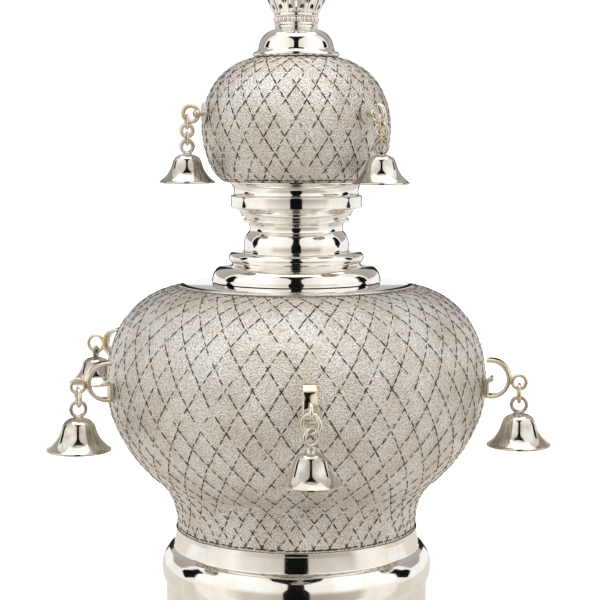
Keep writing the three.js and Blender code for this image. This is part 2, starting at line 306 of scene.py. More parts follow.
overhead = bpy.data.lights.new("overhead", "AREA")
overhead.shape = "RECTANGLE"
overhead.size, overhead.size_y = OVERHEAD_SIZE
overhead.energy = OVERHEAD_POWER
lamp = placed("overhead", overhead)
lamp.location = [axis_x * MM, OVERHEAD_BACK, OVERHEAD_HEIGHT]
lamp.visible_camera = False
print("one overhead light at", OVERHEAD_HEIGHT, "m")

# %% [markdown]
# ## Silver, polished
#
# Spun silver was buffed to a mirror, then handled. What the eye reads is a very low roughness that is a
# little hazy in patches, and reflections that waver slightly, because a spun sheet is never quite true.
# The colour of silver is a warm white. It keeps the usual index of refraction that Blender gives a metal.

# %% Polished silver
def metal(name):
    """A new metallic material with its tree, its shader and object coordinates in millimetres."""
    material, tree = new_material(name)
    shader = tree.nodes["Principled BSDF"]
    shader.inputs["Metallic"].default_value = 1.0
    place = add(tree, "ShaderNodeTexCoord")
    scaled = add(tree, "ShaderNodeMapping", values={"Scale": [1 / MM] * 3},
                 links={"Vector": place.outputs["Object"]})
    return material, tree, shader, scaled.outputs[0]


def polished_silver(name, light, dim, haze=0.0):
    """Buffed silver between two colours. Haze raises the roughness of its duller patches."""
    material, tree, shader, place = metal(name)
    patches = add(tree, "ShaderNodeTexNoise", values={"Scale": 0.09, "Detail": 3.0}, links={0: place})
    colour = add(tree, "ShaderNodeValToRGB", links={0: patches.outputs[0]})
    set_stops(colour, [(0.36, dim), (0.62, light)])
    tree.links.new(colour.outputs[0], shader.inputs["Base Color"])
    rubbed = add(tree, "ShaderNodeTexNoise", values={"Scale": 0.55, "Detail": 4.0}, links={0: place})
    rough = add(tree, "ShaderNodeMapRange", values={1: 0.35, 2: 0.75, 3: 0.045, 4: 0.10 + haze},
                links={0: rubbed.outputs[0]})
    tree.links.new(rough.outputs[0], shader.inputs["Roughness"])
    waver = add(tree, "ShaderNodeTexNoise", values={"Scale": 0.14, "Detail": 1.0}, links={0: place})
    bump = add(tree, "ShaderNodeBump", values={"Strength": 0.25, "Distance": 0.12 * MM},
               links={"Height": waver.outputs[0]})
    tree.links.new(bump.outputs[0], shader.inputs["Normal"])
    return material


silver = polished_silver("polished_silver", "#F6F4F0", "#ECE8E1")
# the scrolls and chains are hard to reach with a cloth, and the bells are touched the most
toned_silver = polished_silver("toned_silver", "#EEEADF", "#D6C7A6", haze=0.06)
handled_silver = polished_silver("handled_silver", "#E8E4DC", "#B4ACA0", haze=0.05)
print("made", ", ".join(made.name for made in (silver, toned_silver, handled_silver)))

# %% [markdown]
# ## Silver, matted
#
# The bulbs were matted by hand: thousands of blows with a punch leave small pits side by side, which
# scatter the light and keep a little tarnish at their bottoms. Pits about 0.9 mm across are drawn by a cell
# pattern that sets colour, roughness and bump together. A real matting punch is finer still, and that would
# not show, so it is drawn as coarse as it needs to be.

# %% Matted silver and the dark of the strokes
def matted_silver(name, pit=0.9):
    """Silver struck all over with a matting punch, its pits so many millimetres across."""
    material, tree, shader, place = metal(name)
    cells = add(tree, "ShaderNodeTexVoronoi", {"feature": "F1"}, {"Scale": 1 / pit}, {0: place})
    grain = add(tree, "ShaderNodeTexNoise", values={"Scale": 1.5 / pit, "Detail": 3.0}, links={0: place})
    height = add(tree, "ShaderNodeMath", {"operation": "MULTIPLY"}, {},
                 {0: cells.outputs["Distance"], 1: grain.outputs[0]})
    speckle = add(tree, "ShaderNodeValToRGB", links={0: height.outputs[0]})
    set_stops(speckle, [(0.04, "#7F766B"), (0.11, "#D8D2C9"), (0.26, "#F1EEE9"), (0.5, "#FBF9F6")])
    clouds = add(tree, "ShaderNodeTexNoise", values={"Scale": 0.05, "Detail": 2.0}, links={0: place})
    tone = add(tree, "ShaderNodeValToRGB", links={0: clouds.outputs[0]})
    set_stops(tone, [(0.35, "#F1ECE5"), (0.65, "#FFFFFF")])
    colour = add(tree, "ShaderNodeMix", {"data_type": "RGBA", "blend_type": "MULTIPLY"}, {0: 1.0},
                 {6: speckle.outputs[0], 7: tone.outputs[0]})
    tree.links.new(colour.outputs[2], shader.inputs["Base Color"])
    rough = add(tree, "ShaderNodeMapRange", values={1: 0.0, 2: 0.5, 3: 0.42, 4: 0.28},
                links={0: height.outputs[0]})
    tree.links.new(rough.outputs[0], shader.inputs["Roughness"])
    bump = add(tree, "ShaderNodeBump", values={"Strength": 1.0, "Distance": 0.85 * MM},
               links={"Height": height.outputs[0]})
    tree.links.new(bump.outputs[0], shader.inputs["Normal"])
    return material


def oxidised_silver(name):
    """Silver gone dark at the bottom of a punched stroke, where no cloth reaches to polish it."""
    material, tree, shader, place = metal(name)
    shader.inputs["Metallic"].default_value = 0.7
    shader.inputs["Roughness"].default_value = 0.55
    worn = add(tree, "ShaderNodeTexNoise", values={"Scale": 0.35, "Detail": 2.0}, links={0: place})
    colour = add(tree, "ShaderNodeValToRGB", links={0: worn.outputs[0]})
    set_stops(colour, [(0.4, "#2E2721"), (0.66, "#6B6056")])
    tree.links.new(colour.outputs[0], shader.inputs["Base Color"])
    return material


matted = matted_silver("matted_silver")
oxidised = oxidised_silver("oxidised_silver")
print("made", matted.name, "and", oxidised.name)

# %% [markdown]
# ## Turning a profile
#
# Almost every part of the crown was spun or turned, so it is a profile swung round an axis. A profile is a
# list of radius and height. Curves are cubic, and a corner gets a small round, because a buffed edge always
# has one and it catches a thin line of light. The wall comes from moving the outside inwards.

# %% Profile helpers
def bend(start, pull_out, pull_in, end, steps=24):
    """Points on a cubic curve from one [radius, height] to another."""
    points = []
    for i in range(steps + 1):
        t = i / steps
        weights = ((1 - t) ** 3, 3 * t * (1 - t) ** 2, 3 * t * t * (1 - t), t ** 3)
        ends = (start, pull_out, pull_in, end)
        points.append([sum(w * p[k] for w, p in zip(weights, ends)) for k in (0, 1)])
    return points


def arc(centre, radius, start, end, steps=12):
    """Points on a circle's arc, from one angle to another in degrees."""
    turns = [radians(start + (end - start) * i / steps) for i in range(steps + 1)]
    return [[centre[0] + radius * cos(t), centre[1] + radius * sin(t)] for t in turns]


def chain(*stretches):
    """Joins stretches of profile and drops the points that two of them share."""
    joined = []
    for stretch in stretches:
        for point in stretch:
            if not joined or hypot(point[0] - joined[-1][0], point[1] - joined[-1][1]) > 1e-3:
                joined.append(list(point))
    return joined


def softened(points, radius=0.35, steps=3, closed=False):
    """Rounds each corner sharper than about 15 degrees."""
    made = []
    count = len(points)
    for i, here in enumerate(points):
        if not closed and i in (0, count - 1):
            made.append(here)
            continue
        before, after = points[i - 1], points[(i + 1) % count]
        into = Vector(here) - Vector(before)
        away = Vector(after) - Vector(here)
        if into.angle(away) < radians(15):
            made.append(here)
            continue
        near = min(radius, into.length * 0.4, away.length * 0.4)
        first = Vector(here) - into.normalized() * near
        last = Vector(here) + away.normalized() * near
        for j in range(steps + 1):
            t = j / steps
            made.append(list(first * (1 - t) ** 2 + Vector(here) * 2 * t * (1 - t) + last * t * t))
    return made


def inner_wall(outside, thickness, spacing=3.0):
    """The inside of a shell, listed back down again. Points that would come too near are left out."""
    inside = []
    travelled = spacing
    for i in range(1, len(outside) - 1):
        step = Vector(outside[i + 1]) - Vector(outside[i - 1])
        travelled += (Vector(outside[i]) - Vector(outside[i - 1])).length
        if travelled < spacing:
            continue
        run = step.normalized()
        point = [outside[i][0] - run.y * thickness, outside[i][1] + run.x * thickness]
        nearest = min(hypot(point[0] - p[0], point[1] - p[1]) for p in outside)
        if nearest > 0.9 * thickness:
            inside.append(point)
            travelled = 0.0
    first = [outside[0][0] - thickness, outside[0][1]]
    last = [outside[-1][0] - thickness, outside[-1][1]]
    return [last] + inside[::-1] + [first]


# %% Turning
def turned(profile, sides):
    """Corners and faces of a closed profile of [radius, height] swung round the upright axis."""
    corners, faces, rows = [], [], []
    for radius, height in profile:
        if radius < 1e-4:
            rows.append([len(corners)] * sides)
            corners.append([0.0, 0.0, height])
            continue
        rows.append(range(len(corners), len(corners) + sides))
        for i in range(sides):
            turn = 2 * pi * i / sides
            corners.append([radius * sin(turn), -radius * cos(turn), height])
    for low, high in zip(rows, rows[1:] + rows[:1]):
        for i in range(sides):
            j = (i + 1) % sides
            face = [low[i], low[j], high[j], high[i]]
            kept = [c for k, c in enumerate(face) if c != face[k - 1]]
            if len(kept) > 2:
                faces.append(kept)
    return corners, faces


def at_azimuth(azimuth, distance=0.0, height=0.0):
    """A frame with +X pointing out from the crown's axis, at degrees from the front to the right."""
    turn = Matrix.Rotation(radians(azimuth - 90), 4, "Z")
    return Matrix.Translation([axis_x, axis_y, 0]) @ turn @ Matrix.Translation([distance, 0, height])


on_axis = Matrix.Translation([axis_x, axis_y, 0])


def piece_from(name, parts, materials, crease=40):
    """One object from several (corners, faces, matrix) in millimetres. Its faces are made to point out."""
    build = bmesh.new()
    for corners, faces, matrix in parts:
        made = [build.verts.new((matrix @ Vector(c)) * MM) for c in corners]
        first = len(build.faces)
        new = [build.faces.new([made[c] for c in face]) for face in faces]
        build.faces.ensure_lookup_table()
        volume = 0.0
        for face in new:
            face.normal_update()
            volume += face.calc_center_median().dot(face.normal) * face.calc_area()
        if volume < 0:
            bmesh.ops.reverse_faces(build, faces=new)
    mesh = bpy.data.meshes.new(name)
    build.to_mesh(mesh)
    build.free()
    for material in materials:
        mesh.materials.append(material)
    mesh.polygons.foreach_set("use_smooth", [True] * len(mesh.polygons))
    mesh.set_sharp_from_angle(angle=radians(crease))
    return placed(name, mesh)


def settle(piece, slot, *nodes):
    """Hangs the piece on the root body, hides the solids that it stands for and prints its triangles. The
    slot, its finish, is not used.
    """
    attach(piece, "root")
    if nodes:
        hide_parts(*nodes)
    triangles = sum(len(p.vertices) - 2 for p in piece.data.polygons)
    print(f"{piece.name}: {triangles} triangles")
    return piece


# %% [markdown]
# ## The base ring
#
# A plain wall stands on a small rolled foot. Above it a bold round moulding turns in to a smooth band that
# carries the large bulb. It was spun in one from sheet, so it is one profile with a wall of 1.4 mm.

# %% Base ring
BODY_RADIUS = 66.2
BASE_WALL = 1.4
BASE_SIDES = 224
base_low, base_high = heights("base_ring")
base_outside = softened(chain(
    [[67.0, base_low]],
    arc([67.0, base_low + 3.0], 1.9, -50, 62, 10),
    [[BODY_RADIUS, 6.6], [BODY_RADIUS, 25.6]],
    bend([BODY_RADIUS, 25.6], [68.9, 29.0], [69.3, 35.6], [66.4, 40.2], 24),
    [[64.6, 42.3], [62.2, 43.4], [62.1, 44.0], [60.9, 50.9], [61.2, base_high - 0.2], [60.9, base_high]],
), radius=0.25)
base_profile = base_outside + inner_wall(base_outside, BASE_WALL)
base = piece_from("base_ring_silver", [(*turned(base_profile, BASE_SIDES), on_axis)], [silver])
settle(base, "polished_silver", "base_ring")

# %% [markdown]
# ## The two bulbs
#
# Each bulb was raised from sheet over a stake, so it is an onion outline swung round the axis. The matted
# ground is real relief here: Geometry Nodes push each outer point in or out along its normal by a cell
# pattern, as the punch did. The mesh is as fine as a piece may be, and the finest grain is left to the
# material's bump. Every tree starts with its named inputs and ends by making its copies real.

# %% A node group that mats a surface
def new_tree(name, inputs):
    """A tree with geometry in and out. Each input is its name, its kind and its default, if it has one."""
    tree = bpy.data.node_groups.new(name, "GeometryNodeTree")
    for word, kind, *default in [("Geometry", "Geometry"), *inputs, ("Finish", "Material")]:
        socket = tree.interface.new_socket(word, in_out="INPUT", socket_type="NodeSocket" + kind)
        if default:
            socket.default_value = default[0]
    tree.interface.new_socket("Geometry", in_out="OUTPUT", socket_type="NodeSocketGeometry")
    return tree, add(tree, "NodeGroupInput")


def end_tree(tree, given, last):
    """Makes the copies real, gives them their finish and hands them out."""
    solid = add(tree, "GeometryNodeRealizeInstances", links={0: last.outputs[0]})
    done = add(tree, "GeometryNodeSetMaterial", links={
        "Geometry": solid.outputs[0], "Material": given.outputs["Finish"]})
    add(tree, "NodeGroupOutput", links={0: done.outputs[0]})
    return tree


def matting_tree():
    tree, given = new_tree("matting", [("Pit", "Float", 2.0), ("Depth", "Float", 0.1)])
    size = add(tree, "ShaderNodeMath", {"operation": "DIVIDE"}, {0: 1 / MM}, {1: given.outputs["Pit"]})
    cells = add(tree, "ShaderNodeTexVoronoi", links={"Scale": size.outputs[0]})
    sway = add(tree, "ShaderNodeTexNoise", values={"Scale": 60.0, "Detail": 1.0})
    both = add(tree, "ShaderNodeMath", {"operation": "ADD"}, {},
               {0: cells.outputs["Distance"], 1: sway.outputs[0]})
    centred = add(tree, "ShaderNodeMath", {"operation": "SUBTRACT"}, {1: 1.0}, {0: both.outputs[0]})
    depth = add(tree, "ShaderNodeMath", {"operation": "MULTIPLY"}, {1: MM}, {0: given.outputs["Depth"]})
    push = add(tree, "ShaderNodeMath", {"operation": "MULTIPLY"}, {},
               {0: centred.outputs[0], 1: depth.outputs[0]})
    normal = add(tree, "GeometryNodeInputNormal")
    offset = add(tree, "ShaderNodeVectorMath", {"operation": "SCALE"}, {},
                 {0: normal.outputs[0], "Scale": push.outputs[0]})
    outer = add(tree, "GeometryNodeInputNamedAttribute", {"data_type": "FLOAT"}, {"Name": "outer_face"})
    chosen = add(tree, "FunctionNodeCompare", {"operation": "GREATER_THAN"}, {1: 0.5}, {0: outer.outputs[0]})
    moved = add(tree, "GeometryNodeSetPosition", links={
        "Geometry": given.outputs["Geometry"], "Selection": chosen.outputs[0], "Offset": offset.outputs[0]})
    return end_tree(tree, given, moved)


def grown(piece, tree, values):
    """Runs a node tree on a piece and keeps the result as its plain mesh."""
    modifier = piece.modifiers.new(tree.name, "NODES")
    modifier.node_group = tree
    for item in tree.interface.items_tree:
        if item.item_type == "SOCKET" and item.in_out == "INPUT" and item.name in values:
            modifier[item.identifier] = values[item.name]
    bpy.context.view_layer.update()
    depsgraph = bpy.context.evaluated_depsgraph_get()
    result = bpy.data.meshes.new_from_object(piece.evaluated_get(depsgraph), depsgraph=depsgraph)
    piece.modifiers.remove(modifier)
    piece.data = result
    return piece


matting = matting_tree()
print("matting tree with", len(matting.nodes), "nodes")

# %% Bulbs
LOWER_BELT = [95.2, 127]
LOWER_WAIST = [69.0, 77.2]
UPPER_BELT = [46.7, 254]
BULB_WALL = 1.2


def bulb(name, node, outside, sides, pit, depth, spacing):
    """A raised bulb whose outer points carry a mark, so that only they are matted."""
    inside = inner_wall(outside, BULB_WALL, spacing)
    piece = piece_from(name, [(*turned(outside + inside, sides), on_axis)], [matted])
    outer = piece.data.attributes.new("outer_face", "FLOAT", "POINT")
    marks = [0.0] * len(piece.data.vertices)
    for i in range(sides, sides * (len(outside) - 1)):
        marks[i] = 1.0
    outer.data.foreach_set("value", marks)
    grown(piece, matting, {"Pit": pit, "Depth": depth, "Finish": matted})
    piece.data.attributes.remove(piece.data.attributes["outer_face"])
    return settle(piece, "matted_silver", node)


lower_outside = chain(
    bend([60.4, 53.4], [60.4, 63.5], [63.0, 71.0], LOWER_WAIST, 30),
    bend(LOWER_WAIST, [81.5, 86.5], [95.6, 106.5], LOWER_BELT, 74),
    bend(LOWER_BELT, [95.2, 150], [83.5, 171.5], [58.3, 174.6], 86),
)
upper_outside = chain(
    bend([36.4, 227.3], [43.0, 230.5], [46.7, 243], UPPER_BELT, 52),
    bend(UPPER_BELT, [46.7, 268], [39.5, 283.5], [21.4, 287.6], 86),
)
lower_bulb = bulb("lower_bulb_matted", "lower_bulb", lower_outside, 440, 2.3, 0.09, 16)
upper_bulb = bulb("upper_bulb_matted", "upper_bulb", upper_outside, 380, 1.6, 0.07, 12)

# %% [markdown]
# ## The punched lattice
#
# Over the matted ground run diagonals in both directions, each a row of short dark strokes struck with a
# narrow chisel. They keep the same slope all the way up, so the diamonds grow with the bulb. One spiral
# each way is drawn as a line. Geometry Nodes copy it round the axis, drop strokes along it at an even pace,
# lay each flat on the bulb, and leave some out where the work is worn.

# %% The stroke tree
def stroke_tree():
    tree, given = new_tree("punched_strokes", [
        ("Ground", "Object"), ("Copies", "Int", 1), ("Pace", "Float", 4.0), ("Stroke", "Vector"),
        ("Worn", "Float", 0.2), ("Seed", "Int", 1), ("Axis", "Vector")])
    line = add(tree, "GeometryNodeMeshToCurve", links={"Mesh": given.outputs["Geometry"]})
    # copies of the line round the axis
    spots = add(tree, "GeometryNodeMeshLine", values={"Offset": [0.0, 0.0, 0.0]},
                links={"Count": given.outputs["Copies"]})
    number = add(tree, "GeometryNodeInputIndex")
    share = add(tree, "ShaderNodeMath", {"operation": "DIVIDE"}, {},
                {0: number.outputs[0], 1: given.outputs["Copies"]})
    turn = add(tree, "ShaderNodeMath", {"operation": "MULTIPLY"}, {1: 2 * pi}, {0: share.outputs[0]})
    about = add(tree, "ShaderNodeCombineXYZ", links={"Z": turn.outputs[0]})
    copied = add(tree, "GeometryNodeInstanceOnPoints", links={
        "Points": spots.outputs[0], "Instance": line.outputs[0], "Rotation": about.outputs[0]})
    lines = add(tree, "GeometryNodeRealizeInstances", links={0: copied.outputs[0]})
    centred = add(tree, "GeometryNodeTransform", links={
        "Geometry": lines.outputs[0], "Translation": given.outputs["Axis"]})
    # points along each line, a little uneven, each snapped to the ground
    paced = add(tree, "GeometryNodeCurveToPoints", {"mode": "LENGTH"},
                links={"Curve": centred.outputs[0], "Length": given.outputs["Pace"]})
    kept_tangent = add(tree, "GeometryNodeCaptureAttribute", links={0: paced.outputs["Points"]})
    kept_tangent.capture_items.new("VECTOR", "along")
    tree.links.new(paced.outputs["Tangent"], kept_tangent.inputs[1])
    ground = add(tree, "GeometryNodeObjectInfo", {"transform_space": "ORIGINAL"},
                 links={"Object": given.outputs["Ground"]})
    place = add(tree, "GeometryNodeInputPosition")
    shaken = add(tree, "FunctionNodeRandomValue", {"data_type": "FLOAT_VECTOR"},
                 {0: [-0.25 * MM] * 3, 1: [0.25 * MM] * 3}, {"Seed": given.outputs["Seed"]})
    near = add(tree, "ShaderNodeVectorMath", {"operation": "ADD"}, {},
               {0: place.outputs[0], 1: shaken.outputs[0]})
    surface = add(tree, "GeometryNodeProximity", {"target_element": "FACES"}, {},
                  {0: ground.outputs["Geometry"], "Sample Position": near.outputs[0]})
    laid = add(tree, "GeometryNodeSetPosition", links={
        "Geometry": kept_tangent.outputs[0], "Position": surface.outputs["Position"]})
    ground_normal = add(tree, "GeometryNodeInputNormal")
    outward = add(tree, "GeometryNodeSampleNearestSurface", {"data_type": "FLOAT_VECTOR"}, {},
                  {"Mesh": ground.outputs["Geometry"], "Value": ground_normal.outputs[0]})
    # worn away here and there, more in some patches than in others
    chance = add(tree, "FunctionNodeRandomValue", {"data_type": "FLOAT"}, {}, {"Seed": given.outputs["Seed"]})
    patches = add(tree, "ShaderNodeTexNoise", values={"Scale": 22.0, "Detail": 1.0})
    uneven = add(tree, "ShaderNodeMapRange", values={1: 0.35, 2: 0.65, 3: 0.3, 4: 1.7},
                 links={0: patches.outputs[0]})
    limit = add(tree, "ShaderNodeMath", {"operation": "MULTIPLY"}, {},
                {0: uneven.outputs[0], 1: given.outputs["Worn"]})
    gone = add(tree, "FunctionNodeCompare", {"operation": "LESS_THAN"}, {},
               {0: chance.outputs[1], 1: limit.outputs[0]})
    left = add(tree, "GeometryNodeDeleteGeometry", {"domain": "POINT"}, {},
               {"Geometry": laid.outputs[0], "Selection": gone.outputs[0]})
    # the stroke itself: a slim boat shape, half let into the ground
    boat = add(tree, "GeometryNodeMeshUVSphere", values={"Segments": 8, "Rings": 4, "Radius": 0.5})
    facing = add(tree, "FunctionNodeAxesToRotation", {"primary_axis": "Z", "secondary_axis": "X"}, {},
                 {0: outward.outputs[0], 1: kept_tangent.outputs[1]})
    varied = add(tree, "FunctionNodeRandomValue", {"data_type": "FLOAT"}, {2: 0.72, 3: 1.15},
                 {"Seed": number.outputs[0]})
    length = add(tree, "ShaderNodeVectorMath", {"operation": "SCALE"}, {},
                 {0: given.outputs["Stroke"], "Scale": varied.outputs[1]})
    struck = add(tree, "GeometryNodeInstanceOnPoints", links={
        "Points": left.outputs[0], "Instance": boat.outputs["Mesh"], "Rotation": facing.outputs[0],
        "Scale": length.outputs[0]})
    return end_tree(tree, given, struck)


strokes = stroke_tree()
print("stroke tree with", len(strokes.nodes), "nodes")

# %% Lines for the strokes
def line_piece(name, lines):
    """An object of bare edges, one run of points for each line, in metres."""
    corners, edges = [], []
    for line in lines:
        first = len(corners)
        corners += [[c * MM for c in point] for point in line]
        edges += [[i, i + 1] for i in range(first, len(corners) - 1)]
    mesh = bpy.data.meshes.new(name)
    mesh.from_pydata(corners, edges, [])
    return placed(name, mesh)


def tan_of(angle):
    return sin(radians(angle)) / cos(radians(angle))


def spiral(outside, slope, way):
    """A line up a bulb that keeps one slope in degrees, about its own axis."""
    turn, points = 0.0, []
    for (r0, z0), (r1, z1) in zip(outside, outside[1:]):
        points.append([r0 * sin(turn), -r0 * cos(turn), z0])
        turn += way * hypot(r1 - r0, z1 - z0) / tan_of(slope) / ((r0 + r1) / 2)
    return points


def border(outside, height, rounds=240):
    """A level line round a bulb at a height."""
    radius = min(outside, key=lambda p: abs(p[1] - height))[0]
    return [[radius * sin(2 * pi * i / rounds), -radius * cos(2 * pi * i / rounds), height]
            for i in range(rounds + 1)]


def lattice(name, ground, lines, copies, pace, stroke, worn, seed):
    """Strokes along lines, in so many copies round the axis, laid on the ground they are struck in."""
    piece = line_piece(name, lines)
    grown(piece, strokes, {
        "Ground": ground, "Copies": copies, "Pace": pace * MM, "Stroke": [s * MM for s in stroke],
        "Worn": worn, "Seed": seed, "Axis": [axis_x * MM, axis_y * MM, 0.0], "Finish": oxidised})
    return settle(piece, "matted_silver")


# each stroke is long, wide and high, and half of its height is in the ground
STROKE, STROKE_PACE, STROKE_WORN, STROKE_SEED = [4.0, 0.72, 0.50], 4.1, 0.06, 7
EDGE_STROKE, EDGE_PACE, EDGE_WORN, EDGE_SEED = [3.9, 0.95, 0.55], 3.7, 0.02, 11
EDGE_RISE = 0.9  # how far the border stands above the bulb's edge

for word, ground, outside, copies, slope in (
    ("lower", lower_bulb, lower_outside, 46, 57),
    ("upper", upper_bulb, upper_outside, 28, 59),
):
    both_ways = [spiral(outside[2:-1], slope, 1), spiral(outside[2:-1], slope, -1)]
    edge_line = [border(outside, outside[0][1] + EDGE_RISE)]
    lattice(f"{word}_lattice", ground, both_ways, copies, STROKE_PACE, STROKE, STROKE_WORN, STROKE_SEED)
    lattice(f"{word}_border", ground, edge_line, 1, EDGE_PACE, EDGE_STROKE, EDGE_WORN, EDGE_SEED)

# %% [markdown]
# ## Shoulder plate, neck and cap
#
# A thin dished plate closes the large bulb. The neck stands on it: a moulded foot, a round moulding, a
# band, a waist with a fine step, a cove and a ring, and a small hollow flare that takes the upper bulb.
# A cap with a rolled flange closes the top. All were spun and polished, with crisp edges between the
# mouldings, because that is where their sharp dark lines come from.

# %% Plate, neck and cap
PLATE_TOP = 177.0
NECK_FOOT_RADIUS = 42.2
NECK_RING_RADIUS = 32.8
NECK_WALL = 1.5
PLATE_SIDES, NECK_SIDES, CAP_SIDES = 200, 176, 128
neck_low, neck_high = heights("neck")
cap_low, cap_high = heights("cap")

plate_profile = softened([
    [22, PLATE_TOP - 1], [NECK_FOOT_RADIUS, PLATE_TOP - 1], [58.0, 174.9], [58.2, 175.7],
    [55.0, 176.3], [NECK_FOOT_RADIUS, PLATE_TOP], [22, PLATE_TOP],
], closed=True)
plate = piece_from("shoulder_plate_silver", [(*turned(plate_profile, PLATE_SIDES), on_axis)], [silver])
settle(plate, "polished_silver", "shoulder_plate")

neck_outside = softened(chain(
    [[NECK_FOOT_RADIUS, neck_low], [NECK_FOOT_RADIUS - 0.1, 178.0]],
    arc([35.0, 178.3], 7.1, 2, 64, 16),
    [[36.0, 185.2], [33.2, 185.6], [32.0, 186.0]],
    arc([30.8, 189.1], 3.0, -66, 84, 18),
    [[29.0, 192.1], [26.2, 192.5]],
    bend([26.2, 192.5], [26.5, 195.0], [26.5, 198.2], [24.8, 200.8], 12),
    [[23.5, 202.4]],
    bend([23.5, 202.4], [23.2, 204.0], [23.4, 205.4], [24.2, 206.3], 6),
    arc([25.4, 207.7], 1.1, -70, 80, 8),
    [[25.2, 208.9], [25.9, 209.4], [27.2, 209.7]],
    bend([27.2, 209.7], [27.8, 211.6], [29.0, 213.2], [32.0, 213.6], 12),
    [[NECK_RING_RADIUS, 214.2]],
    bend([NECK_RING_RADIUS, 214.2], [32.7, 216.0], [32.7, 217.6], [NECK_RING_RADIUS + 0.05, 219.5], 6),
    [[32.4, 220.1], [31.4, 220.4]],
    bend([31.4, 220.4], [30.6, 222.4], [31.4, 225.0], [33.6, 226.2], 10),
    [[35.9, 226.4], [35.9, neck_high]],
), radius=0.2)
neck_profile = neck_outside + inner_wall(neck_outside, NECK_WALL)
neck = piece_from("neck_silver", [(*turned(neck_profile, NECK_SIDES), on_axis)], [silver])
settle(neck, "polished_silver", "neck")

cap_profile = softened(chain(
    arc([19.9, cap_low + 1.4], 1.4, -80, 78, 12),
    [[19.2, cap_low + 3.2], [18.6, 292.2]],
    bend([18.6, 292.2], [18.2, 297.5], [15.0, 301.0], [9.6, 302.0], 24),
    [[10.6, 302.4], [10.6, cap_high], [0, cap_high], [0, 299.8]],
    bend([0, 299.8], [9.4, 299.8], [16.8, 297.0], [17.2, 292.0], 12),
    [[19.4, cap_low + 0.1]],
), radius=0.2, closed=True)
cap = piece_from("cap_silver", [(*turned(cap_profile, CAP_SIDES), on_axis)], [silver])
settle(cap, "polished_silver", "cap")

# %% [markdown]
# ## The little coronet
#
# On the cap stands an openwork crown of seven leaves that lean outwards. It is a fluted wall with the slits,
# eyes and lower openings pierced through it, as a silversmith saws them out, so the wall is built first and
# a Boolean modifier takes the openings away. Under it are two plain rings with a row of beads between them.
# Geometry Nodes set the beads.

# %% Leaves
LEAVES = 7
LEAF_FOOT = 309.4
LEAF_TOP = 329.1
LEAF_WALL = 1.1
LEAF_COLUMNS, LEAF_ROWS = 40, 44  # faces across and up each leaf
FLUTE_DEPTH = 0.32
SAW_START, SAW_END = 8.5, 26  # how far from the axis the openings begin and end
pitch = 360 / LEAVES


def leaf_radius(height):
    """How far out the leaves stand at a height: steep at the foot, then leaning out."""
    part = (height - LEAF_FOOT) / (LEAF_TOP - LEAF_FOOT)
    return 10.9 + 10.4 * part - 3.1 * part ** 2


def fluted_wall(sides, rows):
    """The leaves' wall before piercing. Each leaf has five flutes that fan out from its foot."""
    corners, faces = [], []
    for face_out in (True, False):
        for j in range(rows + 1):
            height = LEAF_FOOT + (LEAF_TOP + 1.2 - LEAF_FOOT) * j / rows
            for i in range(sides):
                turn = 360 * i / sides
                across = ((turn / pitch) % 1.0) * 2 - 1
                flute = FLUTE_DEPTH * abs(sin(pi * 2.5 * across)) * (0.35 + 0.65 * j / rows)
                radius = leaf_radius(height) + (flute if face_out else -LEAF_WALL)
                corners.append([radius * sin(radians(turn)), -radius * cos(radians(turn)), height])
    ring_size = sides * (rows + 1)
    for j in range(rows):
        for i in range(sides):
            a, b = j * sides + i, j * sides + (i + 1) % sides
            faces.append([a, b, b + sides, a + sides])
            faces.append([ring_size + c for c in (b, a, a + sides, b + sides)])
    for i in range(sides):
        a, b = i, (i + 1) % sides
        faces.append([b, a, ring_size + a, ring_size + b])
        top = rows * sides
        faces.append([top + a, top + b, ring_size + top + b, ring_size + top + a])
    return corners, faces


def pierced(outline, azimuth):
    """A bar that saws an opening outwards, from an outline of [millimetres sideways, height]."""
    corners, faces = [], []
    count = len(outline)
    for distance in (SAW_START, SAW_END):
        for sideways, height in outline:
            corners.append([distance, sideways, height])
    for i in range(count):
        j = (i + 1) % count
        faces.append([i, j, count + j, count + i])
    faces.append(list(range(count))[::-1])
    faces.append(list(range(count, 2 * count)))
    return corners, faces, at_azimuth(azimuth)


def oval(middle_height, half_width, half_height, lean=0.0, steps=12):
    """An upright oval that leans sideways as it rises."""
    points = []
    for i in range(steps):
        turn = 2 * pi * i / steps
        x, z = half_width * cos(turn), half_height * sin(turn)
        points.append([x + lean * z, middle_height + z])
    return points


edge = leaf_radius(LEAF_TOP) * tan_of(pitch / 2)
notch = [[-0.3, 310.4], [0.3, 310.4], [0.45, 318.5], [2.6, 321.8], [4.6, 324.6], [edge - 0.6, 328.6],
         [edge + 1.5, 331.5], [-edge - 1.5, 331.5], [-edge + 0.6, 328.6], [-4.6, 324.6], [-2.6, 321.8],
         [-0.45, 318.5]]
bars = []
for leaf in range(LEAVES):
    slit = leaf * pitch
    eye = slit + pitch / 2
    bars.append(pierced(notch, slit))
    bars.append(pierced(oval(315.4, 1.3, 1.7), eye))
    bars.append(pierced(oval(320.8, 0.75, 1.2), eye))
    for side in (-1, 1):
        bars.append(pierced(oval(312.0, 1.05, 1.25, lean=side * 0.2), slit + side * 13))
        bars.append(pierced(oval(316.6, 0.6, 1.5, lean=side * 0.35), slit + side * 14.5))
wall_piece = piece_from("coronet_leaves", [(*fluted_wall(LEAVES * LEAF_COLUMNS, LEAF_ROWS), on_axis)],
                        [silver, oxidised], crease=35)
for face in wall_piece.data.polygons:
    outwards = Vector([face.center.x / MM - axis_x, face.center.y / MM - axis_y])
    face.material_index = int(outwards.dot(face.normal.xy) < 0)  # nobody polishes the inside
cutter = piece_from("coronet_cutter", bars, [oxidised])
saw = wall_piece.modifiers.new("saw", "BOOLEAN")
saw.operation = "DIFFERENCE"
saw.solver = "EXACT"
saw.use_self = True
saw.object = cutter
bpy.context.view_layer.update()
